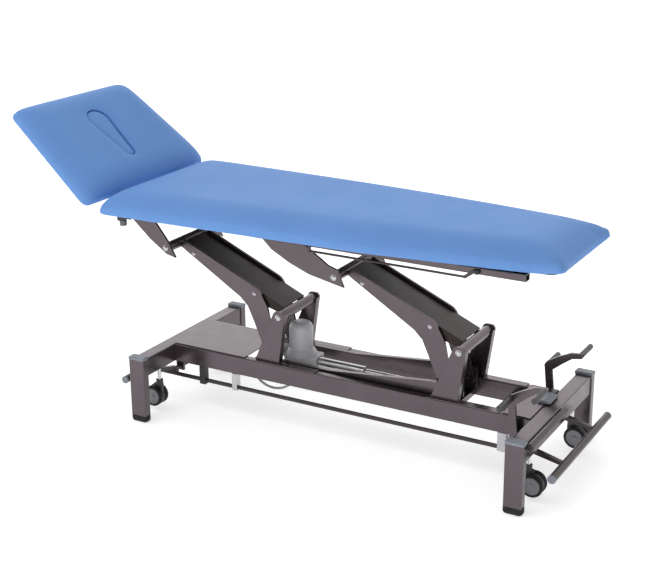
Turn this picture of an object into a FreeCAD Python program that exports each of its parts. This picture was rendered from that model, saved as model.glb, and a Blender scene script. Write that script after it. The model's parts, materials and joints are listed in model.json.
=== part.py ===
"""Height-adjustable examination couch with two upholstered sections.

The couch stands on four legs.  Two parallel lift arms carry the top on a
parallelogram, and a linear actuator between the tie bars drives the arms.
Every size is in millimetres.  X runs from the head end to the foot end, Y
across the couch and Z up from the floor.  Pieces are drawn from the centre
of the base, and each node is then moved by base_x, so that the origin lies
under the middle of the whole couch.
"""

import FreeCAD, Part
import math
import os
import re

import Sketcher

Vector = FreeCAD.Vector
doc = FreeCAD.newDocument("ExamCouch")

SIZES = {
    # where the base stands, from the middle of the whole couch
    "base_x": 187.9,
    # base frame
    "leg_x": 670, "leg_y": 294, "leg_w": 58, "leg_d": 30, "leg_low": 22, "leg_top": 222,
    "cap_over": 1, "cap_high": 9, "boot_corner": 12, "boot_dome": 9,
    "beam_w": 50, "beam_low": 159, "beam_high": 63, "wall": 2.5,
    "rail_y": 112, "rail_w": 28, "corner_r": 4,
    # lift towers and pivots
    "pivot_head_x": -235, "pivot_foot_x": 405, "pivot_z": 385, "tower_y": 112,
    "plate": 8, "tower_base": 90, "tower_lean": 26, "tower_top": 405, "tower_nose": 14,
    "flange": 5, "flange_deep": 15, "sole": 3, "sole_back": 100, "sole_front": 140,
    "pin_r": 8, "fit": 0.05, "bolt_r": 10, "bolt_high": 6, "small_bolt_r": 7,
    # lift arms, in the frame of an arm: pivot at the origin, arm along -X
    "arm_long": 455, "lift_angle": 23.5, "tube_r": 17, "tube_half": 107, "top_tube_half": 131,
    "channel_y": 64, "channel_wall": 4, "web_z": 13, "lever_y": 71,
    "lever_pin_x": 16.9, "lever_pin_z": -161.7, "lever_end_r": 24,
    "bolt_near": 126, "bolt_far": 384,
    # tie bars and actuator
    "tie_y": 84, "tie_w": 14, "tie_low": -36, "tie_top_head": -3, "tie_top_foot": 33,
    "tie_bend_head": -60, "tie_bend_foot": 300, "tie_end": 28,
    "motor_x": -217, "motor_r": 40, "motor_top": 340, "gear_low": 186, "gear_top": 226,
    "gear_head": -266, "gear_foot": -149, "flare_r": 56, "flare_top": 250,
    "drive_z": 206, "outer_r": 18, "rod_r": 11, "outer_end": 25, "rod_in": -50,
    "anchor_x": 335, "anchor_pin_r": 6, "ear_y": 18, "ear_w": 6, "anchor_w": 70, "anchor_high": 20,
    "ear_long": 64, "ear_high": 90, "ear_slot_w": 34, "ear_slot_high": 68, "ear_slot_up": 18,
    "socket_deep": 30, "lug_long": 32, "rear_lug_w": 30, "lug_high": 34, "lug_down": 4,
    # covers and electric parts
    "cover_z": 222, "cover_head_end": -365, "cover_foot_end": 500, "cover_half": 120,
    "box_x": -520, "box_long": 160, "box_half": 75, "box_low": 168, "box_high": 46,
    "gland_r": 9, "gland_long": 12,
    # castors
    "castor_y": 186, "stem_r": 7, "stem_low": 88, "carrier_z": 207, "trail": 18,
    "carrier_w": 30, "carrier_high": 18, "carrier_over": 20,
    "collar_wall": 5, "collar_high": 20, "bridge_lap": 12, "bridge_high": 42, "bridge_up": 24,
    "axle_over": 4, "tyre_gap": 1,
    "wheel_r": 36, "wheel_z": 50, "wheel_w": 16, "hood_w": 12, "axle_r": 4,
    # pedal shaft, link rods and foot bars
    "pedal_x": 606, "pedal_z": 178, "pedal_y": 152, "pedal_r": 8, "link_y": 115,
    "link_z": 108, "link_r": 7, "link_head": -712, "peg_r": 9, "peg_long": 88,
    "bar_x": 766, "bar_z": 111, "bar_half": 247, "bar_r": 12.5, "bar_pivot_x": 642,
    "bar_pivot_z": 134, "bar_pivot_r": 8, "bar_arm_y": 135,
    "bar_arm_w": 14, "bar_arm_over": 7, "cap_long": 6, "hanger_y": 100, "hanger_w": 30,
    "hanger_thick": 8, "hanger_end": 14, "crank_y": 132, "crank_thick": 6, "crank_slot_w": 9,
    "crank_slot_high": 22, "link_pin_r": 4, "link_pin_long": 22, "guide_y_w": 22, "fork_thick": 10,
    "cross_tube_w": 40, "bumper_r": 11, "bumper_z": 211,
    "bumper_long": 288, "bumper_start": -278, "post_w": 20, "post_high": 12, "post_thick": 3,
    # top frame
    "side_y": 200, "side_w": 30, "side_low": 680, "side_high": 22, "side_head": -760,
    "side_foot": 649, "bracket_y": 138,
    # upholstery: outline of the main section, then how far its upper edge rolls in
    "main_low": 703, "main_thick": 75, "main_head": -798, "main_foot": 752,
    "main_half": 317, "waist_x": 150, "waist_half": 281, "foot_half": 206, "waist_r": 900,
    "side_roll": 30, "foot_roll": 62, "head_roll": 46, "under": 8, "corner_r_plan": 26,
    "notch": 16, "notch_half": 195, "board": 8, "board_inset": 18,
    # head section, in its own frame: hinge at the origin, section along -X
    "hinge_x": -797, "hinge_z": 737, "head_tilt": 38, "head_start": 13, "head_long": 427,
    "head_half": 336, "head_end_half": 290, "head_thick": 65, "head_drop": 30, "hinge_roll": 56, "plug_x": 213,
    "plug_y": -12, "plug_wide_r": 49, "plug_slim_r": 24, "plug_reach": 150, "plug_clear": 3,
    "lug_y": 160, "lug_w": 8, "lug_half": 7, "hinge_pin_r": 3.5,
    # release grip under the head end
    "grip_x": -783, "grip_y": -192, "grip_r": 12, "grip_pin_z": 666, "grip_long": 35,
    # release rod along the near side tube
    "rod_y": -222, "rod_z": 670, "rod_pivot_z": 690, "rod_wire_r": 3.5, "rod_head": -50, "rod_foot": 466,
}

sheet = doc.addObject("Spreadsheet::Sheet", "Sizes")
for row, (alias, value) in enumerate(SIZES.items(), start=1):
    sheet.set(f"A{row}", alias)
    sheet.set(f"B{row}", str(value))
    sheet.setAlias(f"B{row}", alias)
doc.recompute()

AXIS_TURN = {
    "x": FreeCAD.Rotation(Vector(0, 1, 0), 90),
    "y": FreeCAD.Rotation(Vector(1, 0, 0), -90),
    "z": FreeCAD.Rotation(),
}
SIDES = {"near": -1, "far": 1}
ENDS = {"head": -1, "foot": 1}


def size(alias):
    """Return one driving dimension."""
    return float(sheet.get(alias))


def cells(text):
    """Turn the aliases in a formula into references to the sheet."""
    return re.sub(r"[A-Za-z_]\w*", lambda word: "Sizes." + word.group(0), str(text))


def bind(thing, **formulas):
    """Bind properties to formulas; a double underscore stands for a dot."""
    for name, formula in formulas.items():
        thing.setExpression(name.replace("__", "."), cells(formula))
    return thing


def place(thing, x, y, z):
    """Bind a piece's position."""
    return bind(thing, Placement__Base__x=x, Placement__Base__y=y, Placement__Base__z=z)


def box(name, span, middle):
    """A block of the given span about its middle."""
    block = doc.addObject("Part::Box", name)
    bind(block, Length=span[0], Width=span[1], Height=span[2])
    low = [f"({centre}) - ({extent}) / 2" for centre, extent in zip(middle, span)]
    return place(block, *low)


def cylinder(name, axis, radius, length, start):
    """A round bar that runs from its start along an axis."""
    bar = doc.addObject("Part::Cylinder", name)
    bind(bar, Radius=radius, Height=length)
    bar.Placement = FreeCAD.Placement(Vector(), AXIS_TURN[axis])
    return place(bar, *start)


def cone(name, axis, radii, length, start):
    """A tapered round piece that runs from its start along an axis."""
    taper = doc.addObject("Part::Cone", name)
    bind(taper, Radius1=radii[0], Radius2=radii[1], Height=length)
    taper.Placement = FreeCAD.Placement(Vector(), AXIS_TURN[axis])
    return place(taper, *start)


def cut(name, base, tool):
    """One piece less another."""
    result = doc.addObject("Part::Cut", name)
    result.Base = base
    result.Tool = tool
    return result


def fuse(name, pieces):
    """Pieces joined into one solid."""
    result = doc.addObject("Part::MultiFuse", name)
    result.Shapes = pieces
    return result


def rounded(name, piece, radius, chosen):
    """A piece whose chosen edges are rounded."""
    doc.recompute()
    edges = [
        (number, radius, radius)
        for number, edge in enumerate(piece.Shape.Edges, start=1)
        if chosen(edge)
    ]
    result = doc.addObject("Part::Fillet", name)
    result.Base = piece
    result.Edges = edges
    return result


def runs_along(axis):
    """Choose the straight edges that run along an axis."""
    index = "xyz".index(axis)

    def chosen(edge):
        if len(edge.Vertexes) < 2:
            return False
        span = edge.Vertexes[1].Point - edge.Vertexes[0].Point
        return abs(abs(span[index]) - span.Length) < 1e-6

    return chosen


def square_tube(name, axis, span, middle):
    """A rectangular tube with rounded long edges and open ends."""
    index = "xyz".index(axis)
    outer = rounded(
        name + "_skin", box(name + "_block", span, middle), size("corner_r"), runs_along(axis),
    )
    inner_span = [f"({extent}) - 2 * wall" for extent in span]
    inner_span[index] = span[index]
    inner = box(name + "_inside", inner_span, middle)
    return cut(name, outer, inner)


def bush(name, radius, bore, half, centre):
    """A round tube across the couch, centred on a point."""
    start = (centre[0], f"{centre[1]} - ({half})", centre[2])
    outer = cylinder(name + "_skin", "y", radius, f"2 * ({half})", start)
    inner = cylinder(name + "_bore", "y", bore, f"2 * ({half})", start)
    return cut(name, outer, inner)


def outline(name, plane, points, thickness, offset):
    """A flat plate padded both ways from a sketch on one of the body's own planes."""
    body = doc.addObject("PartDesign::Body", name)
    sketch = body.newObject("Sketcher::SketchObject", name + "_outline")
    own_plane = [item for item in body.Origin.OriginFeatures if item.Role == plane][0]
    sketch.AttachmentSupport = [(own_plane, "")]
    sketch.MapMode = "FlatFace"
    rough = [Vector(evaluate(x), evaluate(y), 0) for x, y in points]
    count = len(points)
    for number in range(count):
        sketch.addGeometry(Part.LineSegment(rough[number], rough[(number + 1) % count]), False)
    for number in range(count):
        following = (number + 1) % count
        sketch.addConstraint(Sketcher.Constraint("Coincident", number, 2, following, 1))
    for number, (x, y) in enumerate(points):
        for kind, formula, value in (("DistanceX", x, rough[number].x), ("DistanceY", y, rough[number].y)):
            index = sketch.addConstraint(Sketcher.Constraint(kind, -1, 1, number, 1, value))
            sketch.setExpression(f"Constraints[{index}]", cells(formula))
    pad = body.newObject("PartDesign::Pad", name + "_pad")
    pad.Profile = sketch
    bind(pad, Length=thickness)
    pad.Midplane = True
    body.Tip = pad
    return place(body, *offset)


def evaluate(formula):
    """The value of a formula, for the first guess of a sketch."""
    names = {alias: float(value) for alias, value in SIZES.items()}
    text = re.sub(r"[A-Za-z_]\w*", lambda word: repr(names[word.group(0)]), str(formula))
    total = FreeCAD.Units.parseQuantity(text.replace(" ", ""))
    return float(total.Value)


def soften(body, radius, chosen):
    """Round chosen edges of a body's last feature."""
    doc.recompute()
    last = body.Tip
    picked = [
        f"Edge{number}"
        for number, edge in enumerate(last.Shape.Edges, start=1)
        if chosen(edge)
    ]
    feature = body.newObject("PartDesign::Fillet", body.Name + "_round" + str(len(body.Group)))
    feature.Base = (last, picked)
    bind(feature, Radius=radius)
    body.Tip = feature
    return body


def standing_at(axis, spots):
    """Choose the edges along an axis that stand at one of the spots in the plane across it."""
    along = runs_along(axis)
    across = [index for index in range(3) if index != "xyz".index(axis)]

    def chosen(edge):
        if not along(edge):
            return False
        point = edge.Vertexes[0].Point
        here = [point[index] for index in across]
        return any(math.dist(here, spot) < 1.0 for spot in spots)

    return chosen


NODES = []


def node(label, pieces, origin=("0", "0", "0"), turn=None):
    """One sub-part of the couch: its pieces, moved to where they belong."""
    group = doc.addObject("Part::Compound", label)
    group.Label = label
    group.Links = pieces
    if turn:
        group.Placement = FreeCAD.Placement(Vector(), FreeCAD.Rotation(Vector(0, 1, 0), 1))
        bind(group, Placement__Rotation__Angle=turn)
    place(group, f"base_x + ({origin[0]})", origin[1], origin[2])
    NODES.append(group)
    return group


# ---------------------------------------------------------------- base frame

def base_frame():
    """Rails, cross beams, legs and feet."""
    rails = [
        square_tube(
            f"rail_{side}", "x", ("2 * leg_x - beam_w", "rail_w", "beam_high"),
            ("0", f"{sign} * rail_y", "beam_low + beam_high / 2"),
        )
        for side, sign in SIDES.items()
    ]
    bored_rails = []
    for rail, (side, sign) in zip(rails, SIDES.items()):
        bore = cylinder(
            f"rail_bore_{side}", "y", "pedal_r + fit", "2 * rail_w",
            ("pedal_x", f"{sign} * rail_y - rail_w", "pedal_z"),
        )
        bored_rails.append(cut(f"bored_rail_{side}", rail, bore))
    node("side_rails", bored_rails)

    beams = []
    for end, sign in ENDS.items():
        beam = square_tube(
            f"beam_{end}", "y", ("beam_w", "2 * leg_y - leg_d", "beam_high"),
            (f"{sign} * leg_x", "0", "beam_low + beam_high / 2"),
        )
        for side, across in SIDES.items():
            hole = cylinder(
                f"stem_hole_{end}_{side}", "z", "stem_r + 1", "4 * wall",
                (f"{sign} * leg_x", f"{across} * castor_y", "beam_low - wall"),
            )
            beam = cut(f"beam_{end}_{side}", beam, hole)
        beams.append(beam)
    node("cross_beams", beams)

    legs, caps, feet = [], [], []
    for end, sign in ENDS.items():
        for side, across in SIDES.items():
            spot = (f"{sign} * leg_x", f"{across} * leg_y")
            tag = f"{end}_{side}"
            legs.append(square_tube(
                f"leg_{tag}", "z", ("leg_w", "leg_d", "leg_top - leg_low"),
                (*spot, "(leg_top + leg_low) / 2"),
            ))
            cap = box(
                f"cap_block_{tag}", ("leg_w + 2 * cap_over", "leg_d + 2 * cap_over", "cap_high"),
                (*spot, "leg_top + cap_high / 2"),
            )
            caps.append(rounded(
                f"cap_{tag}", cap, 3, lambda edge: edge.BoundBox.ZMax > size("leg_top") + 1,
            ))
            boot = box(
                f"boot_block_{tag}", ("leg_w + 4 * cap_over", "leg_d + 4 * cap_over", "leg_low"),
                (*spot, "leg_low / 2"),
            )
            boot = rounded(f"boot_sides_{tag}", boot, size("boot_corner"), runs_along("z"))
            feet.append(rounded(
                f"boot_{tag}", boot, size("boot_dome"), lambda edge: edge.BoundBox.ZMax < 1,
            ))
    node("corner_legs", legs)
    node("leg_caps", caps)
    node("levelling_feet", feet)


def towers():
    """Four tower plates, each with a folded flange, a sole plate and a pivot bolt."""
    plates, flanges, soles, bolts = [], [], [], []
    for end in ENDS:
        pivot = f"pivot_{end}_x"
        for side, across in SIDES.items():
            tag = f"{end}_{side}"
            shape = [
                (f"{pivot} - tower_base", "cover_z + sole"),
                (pivot, "cover_z + sole"),
                (f"{pivot} + tower_lean", "tower_top"),
                (f"{pivot} - tower_nose", "tower_top"),
            ]
            plate = outline(
                f"tower_{tag}", "XZ_Plane", shape, "plate", ("0", f"{across} * tower_y", "0"),
            )
            top = [(size(pivot) + size("tower_lean"), size("tower_top")),
                   (size(pivot) - size("tower_nose"), size("tower_top"))]
            soften(plate, "tower_nose", standing_at("y", top))
            bore = cylinder(
                f"tower_bore_{tag}", "y", "pin_r + fit", "2 * plate",
                (pivot, f"{across} * tower_y - plate", "pivot_z"),
            )
            plates.append(cut(f"tower_plate_{tag}", plate, bore))
            inner_y = f"{across} * (tower_y - plate / 2 - flange_deep / 2)"
            fold = [
                (f"{pivot} - flange", "cover_z + sole"),
                (pivot, "cover_z + sole"),
                (f"{pivot} + tower_lean - 2", "tower_top - tower_nose"),
                (f"{pivot} + tower_lean - 2 - flange", "tower_top - tower_nose"),
            ]
            flanges.append(outline(f"fold_{tag}", "XZ_Plane", fold, "flange_deep", ("0", inner_y, "0")))
            soles.append(box(
                f"sole_{tag}", ("sole_back + sole_front", "rail_w + 2", "sole"),
                (f"{pivot} + (sole_front - sole_back) / 2", f"{across} * rail_y", "cover_z + sole / 2"),
            ))
            bolts.extend(pivot_bolt(
                f"low_{tag}", across, "tower_y + plate / 2", (pivot, "pivot_z"), "18",
            ))
    node("tower_plates", plates + flanges + soles)
    node("lower_pivot_bolts", bolts)


def pivot_bolt(tag, across, face, spot, reach):
    """A domed bolt head on a face, with the plain pin behind it as one solid."""
    if across > 0:
        pin_start = (spot[0], f"{face} - {reach}", spot[1])
        head_start = (spot[0], face, spot[1])
    else:
        pin_start = (spot[0], f"-({face}) - bolt_high", spot[1])
        head_start = pin_start
    pin_long = f"{reach} + bolt_high / 2" if across > 0 else f"{reach} + bolt_high"
    pin = cylinder(f"pin_{tag}", "y", "pin_r", pin_long, pin_start)
    radii = ("bolt_r", "pin_r") if across > 0 else ("pin_r", "bolt_r")
    head = cone(f"bolt_{tag}", "y", radii, "bolt_high", head_start)
    return [fuse(f"pivot_bolt_{tag}", [pin, head])]


# ---------------------------------------------------------------- lift arms

def arm_pieces():
    """The pieces of one lift arm, in the arm's own frame."""
    web = box(
        "arm_web", ("arm_long - tube_r - 15", "2 * channel_y + channel_wall", "channel_wall"),
        ("-(arm_long - tube_r + 15) / 2 - 0.5", "0", "web_z"),
    )
    flanges, levers, bolts = [], [], []
    for side, across in SIDES.items():
        skirt = [
            ("-(arm_long - tube_r - 1)", "web_z - channel_wall / 2"),
            ("-15", "web_z - channel_wall / 2"),
            ("-18", "0"),
            ("-20", "-12"),
            ("-120", "-25"),
            ("-(arm_long - tube_r - 1)", "-2"),
        ]
        flanges.append(outline(
            f"skirt_{side}", "XZ_Plane", skirt, "channel_wall", ("0", f"{across} * channel_y", "0"),
        ))
        plate = [
            ("-437", "24"),
            ("-118", "24"),
            ("-66", "-14"),
            ("-28", "-68"),
            ("lever_pin_x + 20", "lever_pin_z + 12"),
            ("lever_pin_x + 34", "lever_pin_z - 8"),
            ("lever_pin_x - 5", "lever_pin_z - 36"),
            ("-46", "-132"),
            ("-92", "-88"),
            ("-131", "-53"),
            ("-168", "-39"),
            ("-437", "-3"),
        ]
        lever = outline(
            f"lever_blank_{side}", "XZ_Plane", plate, "plate", ("0", f"{across} * lever_y", "0"),
        )
        pin = (size("lever_pin_x"), size("lever_pin_z"))
        soften(lever, "20", standing_at("y", [(pin[0] + 34, pin[1] - 8), (pin[0] - 5, pin[1] - 36)]))
        soften(lever, "45", standing_at("y", [(-118, 24)]))
        soften(lever, "60", standing_at("y", [(-92, -88), (-66, -14), (-28, -68)]))
        bore = cylinder(
            f"lever_bore_{side}", "y", "pin_r + fit", "2 * plate",
            ("lever_pin_x", f"{across} * lever_y - plate", "lever_pin_z"),
        )
        levers.append(cut(f"lever_{side}", lever, bore))
        for station in ("bolt_near", "bolt_far"):
            bolts.append(button(
                f"{station}_{side}", across, "lever_y + plate / 2", (f"-{station}", "0"),
            ))
    lower = bush("arm_lower_tube", "tube_r", "pin_r + fit", "tube_half", ("0", "0", "0"))
    upper = bush("arm_upper_tube", "tube_r", "pin_r + fit", "top_tube_half", ("-arm_long", "0", "0"))
    return {"channel": [web, *flanges], "levers": levers, "tubes": [lower, upper], "bolts": bolts}


def button(tag, across, face, spot):
    """A low button-headed screw on a face across the couch."""
    if across > 0:
        return cone(
            f"button_{tag}", "y", ("small_bolt_r", "small_bolt_r - 3"), "5", (spot[0], face, spot[1]),
        )
    return cone(
        f"button_{tag}", "y", ("small_bolt_r - 3", "small_bolt_r"), "5",
        (spot[0], f"-({face}) - 5", spot[1]),
    )


def lift_arms():
    """Two equal arms, one above each pair of towers."""
    pieces = arm_pieces()
    for end in ENDS:
        for kind, links in pieces.items():
            node(f"arm_{end}_{kind}", links, (f"pivot_{end}_x", "0", "pivot_z"), "lift_angle")


# ---------------------------------------------------------------- drive

def lever_pin(end):
    """Where an arm's lever pin is with the arm at rest, as formulas."""
    turn = math.radians(size("lift_angle"))
    reach_x = size("lever_pin_x") * math.cos(turn) + size("lever_pin_z") * math.sin(turn)
    reach_z = size("lever_pin_z") * math.cos(turn) - size("lever_pin_x") * math.sin(turn)
    return f"pivot_{end}_x + ({reach_x:.4f})", f"pivot_z + ({reach_z:.4f})"


def drive():
    """Tie bars, the actuator that pushes them and the bracket it pushes from."""
    head_pin, foot_pin = lever_pin("head"), lever_pin("foot")
    bars = []
    for side, across in SIDES.items():
        edge = [
            (f"{head_pin[0]} - tie_end", f"{head_pin[1]} + tie_low"),
            (f"{head_pin[0]} - tie_end", f"{head_pin[1]} + tie_top_head"),
            ("tie_bend_head", f"{head_pin[1]} + tie_top_head"),
            ("tie_bend_foot", f"{head_pin[1]} + tie_top_foot"),
            (f"{foot_pin[0]} + tie_end", f"{head_pin[1]} + tie_top_foot"),
            (f"{foot_pin[0]} + tie_end", f"{head_pin[1]} + tie_low"),
        ]
        bars.append(outline(f"tie_{side}", "XZ_Plane", edge, "tie_w", ("0", f"{across} * tie_y", "0")))
    pins = []
    inner = "tie_y - tie_w / 2"
    pins.append(cylinder(
        "head_cross_pin", "y", "pin_r", f"2 * ({inner})", (head_pin[0], f"-({inner})", head_pin[1]),
    ))
    for side, across in SIDES.items():
        start = inner + " - 14" if across > 0 else f"-({inner})"
        pins.append(cylinder(f"foot_pin_{side}", "y", "pin_r", "14", (foot_pin[0], start, foot_pin[1])))
    node("tie_bars", bars + pins)

    gear = box(
        "gear_block", ("gear_foot - gear_head", "2 * motor_r", "gear_top - gear_low"),
        ("(gear_foot + gear_head) / 2", "0", "(gear_top + gear_low) / 2"),
    )
    gear = rounded("gear_case", gear, 12, runs_along("z"))
    socket = cylinder(
        "gear_socket", "x", "outer_r", "socket_deep", ("gear_foot - socket_deep", "0", "drive_z"),
    )
    gear = cut("gear_housing", gear, socket)
    flare = cone(
        "motor_flare", "z", ("flare_r", "motor_r"), "flare_top - gear_top",
        ("motor_x", "0", "gear_top"),
    )
    bell = cylinder("motor_can", "z", "motor_r", "motor_top - flare_top", ("motor_x", "0", "flare_top"))
    bell = rounded("motor_bell", bell, 24, lambda edge: edge.BoundBox.ZMin > size("motor_top") - 1)
    lug = box(
        "rear_lug_block", ("lug_long", "rear_lug_w", "lug_high"),
        ("gear_head - lug_long / 2", "0", f"{head_pin[1]} - lug_down"),
    )
    lug_bore = cylinder("rear_lug_bore", "y", "pin_r + fit", "60", (head_pin[0], "-30", head_pin[1]))
    lug = cut("rear_lug", lug, lug_bore)
    node("actuator_housing", [gear, flare, bell, lug])

    outer = cylinder(
        "outer_tube_skin", "x", "outer_r", "outer_end - gear_foot + socket_deep",
        ("gear_foot - socket_deep", "0", "drive_z"),
    )
    inner_bore = cylinder(
        "outer_tube_bore", "x", "rod_r + fit", "400", ("gear_foot - socket_deep", "0", "drive_z"),
    )
    node("actuator_tube", [cut("outer_tube", outer, inner_bore)])

    shaft = cylinder("rod_shaft", "x", "rod_r", "anchor_x - rod_in", ("rod_in", "0", "drive_z"))
    eye = cylinder(
        "rod_eye", "y", "rod_r + 2", "2 * (ear_y - ear_w)", ("anchor_x", "ear_w - ear_y", "drive_z"),
    )
    pin = cylinder(
        "rod_pin", "y", "anchor_pin_r", "2 * (ear_y + ear_w)",
        ("anchor_x", "-(ear_y + ear_w)", "drive_z"),
    )
    node("actuator_rod", [fuse("rod_with_eye", [shaft, eye, pin])])

    member = box(
        "anchor_member", ("anchor_w", "2 * rail_y - rail_w", "anchor_high"),
        ("anchor_x", "0", "beam_low + anchor_high / 2"),
    )
    ears = []
    for side, across in SIDES.items():
        blank = box(
            f"ear_blank_{side}", ("ear_long", "ear_w", "ear_high"),
            ("anchor_x", f"{across} * ear_y", "beam_low + anchor_high + ear_high / 2"),
        )
        blank = rounded(
            f"ear_round_{side}", blank, 10,
            lambda edge: runs_along("y")(edge) and edge.BoundBox.ZMin > 260,
        )
        slot = box(
            f"ear_slot_{side}", ("ear_slot_w", "2 * ear_w", "ear_slot_high"),
            ("anchor_x", f"{across} * ear_y", "drive_z + ear_slot_up"),
        )
        ears.append(cut(f"ear_{side}", blank, slot))
    node("anchor_bracket", [member, *ears])


# ---------------------------------------------------------------- covers and electrics

def covers():
    """Sheet covers on both ends of the base, the shaft bracket and the end bumper."""
    head = box(
        "head_sheet", ("cover_head_end + leg_x - beam_w / 2", "2 * cover_half", "sole"),
        ("(cover_head_end - leg_x + beam_w / 2) / 2", "0", "cover_z + sole / 2"),
    )
    fold = [
        ("leg_x - beam_w / 2", "cover_z"),
        ("leg_x - beam_w / 2", "cover_z + sole"),
        ("cover_foot_end + 56", "cover_z + sole"),
        ("cover_foot_end + 56", "cover_z"),
    ]
    flat = outline("foot_sheet", "XZ_Plane", fold, "2 * cover_half", ("0", "0", "0"))
    slope = [
        ("cover_foot_end + 56", "cover_z"),
        ("cover_foot_end + 56", "cover_z + sole"),
        ("cover_foot_end - 4", "cover_z + sole - 34"),
        ("cover_foot_end", "cover_z - 34"),
    ]
    lip = outline("foot_lip", "XZ_Plane", slope, "2 * (rail_y - rail_w / 2) - 4", ("0", "0", "0"))
    node("cover_plates", [head, flat, lip])
    arch = [
        ("leg_x - beam_w / 2 - 24", "cover_z + sole"),
        ("leg_x - 8", "cover_z + sole"),
        ("leg_x - 8", "cover_z + sole + 4"),
        ("leg_x - 30", "cover_z + sole + 9"),
        ("leg_x - beam_w / 2 - 24", "cover_z + sole + 7"),
    ]
    node("shaft_bracket", [outline("shaft_arch", "XZ_Plane", arch, "70", ("0", "35", "0"))])
    roller = cylinder(
        "bumper_tube", "y", "bumper_r", "bumper_long",
        ("leg_x + beam_w / 2 + bumper_r", "bumper_start", "bumper_z"),
    )
    posts = [
        box(
            f"bumper_post_{number}", ("post_thick", "post_w", "post_high"),
            ("leg_x + beam_w / 2 + post_thick / 2", str(y), "bumper_z"),
        )
        for number, y in enumerate((-200, -60))
    ]
    node("end_bumper", [fuse("bumper", [roller, *posts])])


def electrics():
    """Control box, its cable and the two glands at the cable's ends."""
    case = box(
        "box_blank", ("box_long", "2 * box_half", "box_high"), ("box_x", "0", "box_low + box_high / 2"),
    )
    node("control_box", [rounded("box_case", case, 6, runs_along("z"))])
    cable = doc.addObject("Part::Feature", "cable_tube")
    cable.Shape = cord_tube(CABLE_ROUTE, CABLE_R)
    node("motor_cable", [cable])
    glands = []
    for name, spot, back in (("box", CABLE_ROUTE[0], "gland_long"), ("rail", CABLE_ROUTE[-1], "0")):
        start = (f"{spot[0]} - {back}", str(spot[1]), str(spot[2]))
        plain = cylinder(f"gland_plain_{name}", "x", "gland_r", "gland_long", start)
        glands.append(cut(f"gland_{name}", plain, cable))
    end_x, end_y, end_z = CABLE_ROUTE[-1]
    stand = box(
        "gland_stand", ("gland_long", f"rail_y - rail_w / 2 + ({end_y}) + gland_r", "gland_r"),
        (f"{end_x} + 1.5 * gland_long", f"(({end_y}) + gland_r - rail_y + rail_w / 2) / 2", str(end_z)),
    )
    node("cable_glands", [*glands, stand])


CABLE_R = 4.2
CABLE_ROUTE = [
    (-428, -62, 184),
    (-392, -64, 178),
    (-360, -73, 152),
    (-324, -80, 126),
    (-282, -82, 116),
    (-240, -80, 124),
    (-208, -77, 148),
    (-180, -73, 165),
    (-144, -72, 168),
]


def cord_tube(route, radius):
    """A round cord along straight runs joined by tangent arcs."""
    points = [Vector(*spot) for spot in route]
    edges, start = [], points[0]
    for before, corner, after in zip(points, points[1:], points[2:]):
        come = (corner - before).normalize()
        leave = (after - corner).normalize()
        half_turn = come.getAngle(leave) / 2
        back = 0.45 * min((corner - before).Length, (after - corner).Length)
        bend = back / math.tan(half_turn)
        first, last = corner - come * back, corner + leave * back
        bisector = (leave - come).normalize()
        centre = corner + bisector * (bend / math.cos(half_turn))
        middle = centre - bisector * bend
        edges.append(Part.LineSegment(start, first).toShape())
        edges.append(Part.Arc(first, middle, last).toShape())
        start = last
    edges.append(Part.LineSegment(start, points[-1]).toShape())
    path = Part.Wire(edges)
    heading = (points[1] - points[0]).normalize()
    ring = Part.Wire([Part.makeCircle(radius, points[0], heading)])
    return Part.Wire(path).makePipeShell([ring], True, True)


# ---------------------------------------------------------------- castors and their pedals

def castors():
    """Two carriers inside the cross beams, each with two twin-wheel castors."""
    for end, sign in ENDS.items():
        x = f"{sign} * leg_x"
        bar = box(
            f"carrier_bar_{end}",
            ("carrier_w", "2 * (castor_y + carrier_over)", "carrier_high"), (x, "0", "carrier_z"),
        )
        stems = [
            cylinder(
                f"stem_{end}_{side}", "z", "stem_r", "carrier_z - stem_low",
                (x, f"{across} * castor_y", "stem_low"),
            )
            for side, across in SIDES.items()
        ]
        node(f"castor_carrier_{end}", [fuse(f"carrier_{end}", [bar, *stems])])
        for side, across in SIDES.items():
            y = f"{across} * castor_y"
            tag = f"{end}_{side}"
            wheel_x = f"{x} + ({sign}) * trail"
            collar = cylinder(
                f"collar_{tag}", "z", "stem_r + collar_wall", "collar_high", (x, y, "stem_low + 2"),
            )
            hood = cylinder(
                f"hood_{tag}", "y", "wheel_r - 3", "hood_w", (wheel_x, f"{y} - hood_w / 2", "wheel_z"),
            )
            bridge = box(
                f"bridge_{tag}", ("trail + bridge_lap", "hood_w", "bridge_high"),
                (f"{x} + ({sign}) * (trail - bridge_lap) / 2", y, "wheel_z + bridge_up"),
            )
            body = fuse(f"hood_body_{tag}", [collar, hood, bridge])
            stem_bore = cylinder(
                f"stem_bore_{tag}", "z", "stem_r + fit", "2 * collar_high", (x, y, "stem_low - 0.5"),
            )
            axle_bore = cylinder(
                f"axle_bore_{tag}", "y", "axle_r + fit", "2 * hood_w",
                (wheel_x, f"{y} - hood_w", "wheel_z"),
            )
            body = cut(f"hood_bored_{tag}", cut(f"hood_open_{tag}", body, stem_bore), axle_bore)
            node(f"castor_housing_{tag}", [body])
            gap = "hood_w / 2 + tyre_gap"
            axle = cylinder(
                f"axle_{tag}", "y", "axle_r", f"2 * ({gap} + axle_over)",
                (wheel_x, f"{y} - ({gap} + axle_over)", "wheel_z"),
            )
            wheels = [axle]
            for outer_side, out in SIDES.items():
                start = f"{y} + {gap}" if out > 0 else f"{y} - ({gap}) - wheel_w"
                tyre = cylinder(
                    f"tyre_{tag}_{outer_side}", "y", "wheel_r", "wheel_w", (wheel_x, start, "wheel_z"),
                )
                wheels.append(rounded(
                    f"round_tyre_{tag}_{outer_side}", tyre, 3.5, lambda edge: edge.Length > 100,
                ))
            node(f"castor_wheels_{tag}", [fuse(f"wheel_set_{tag}", wheels)])


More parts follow.
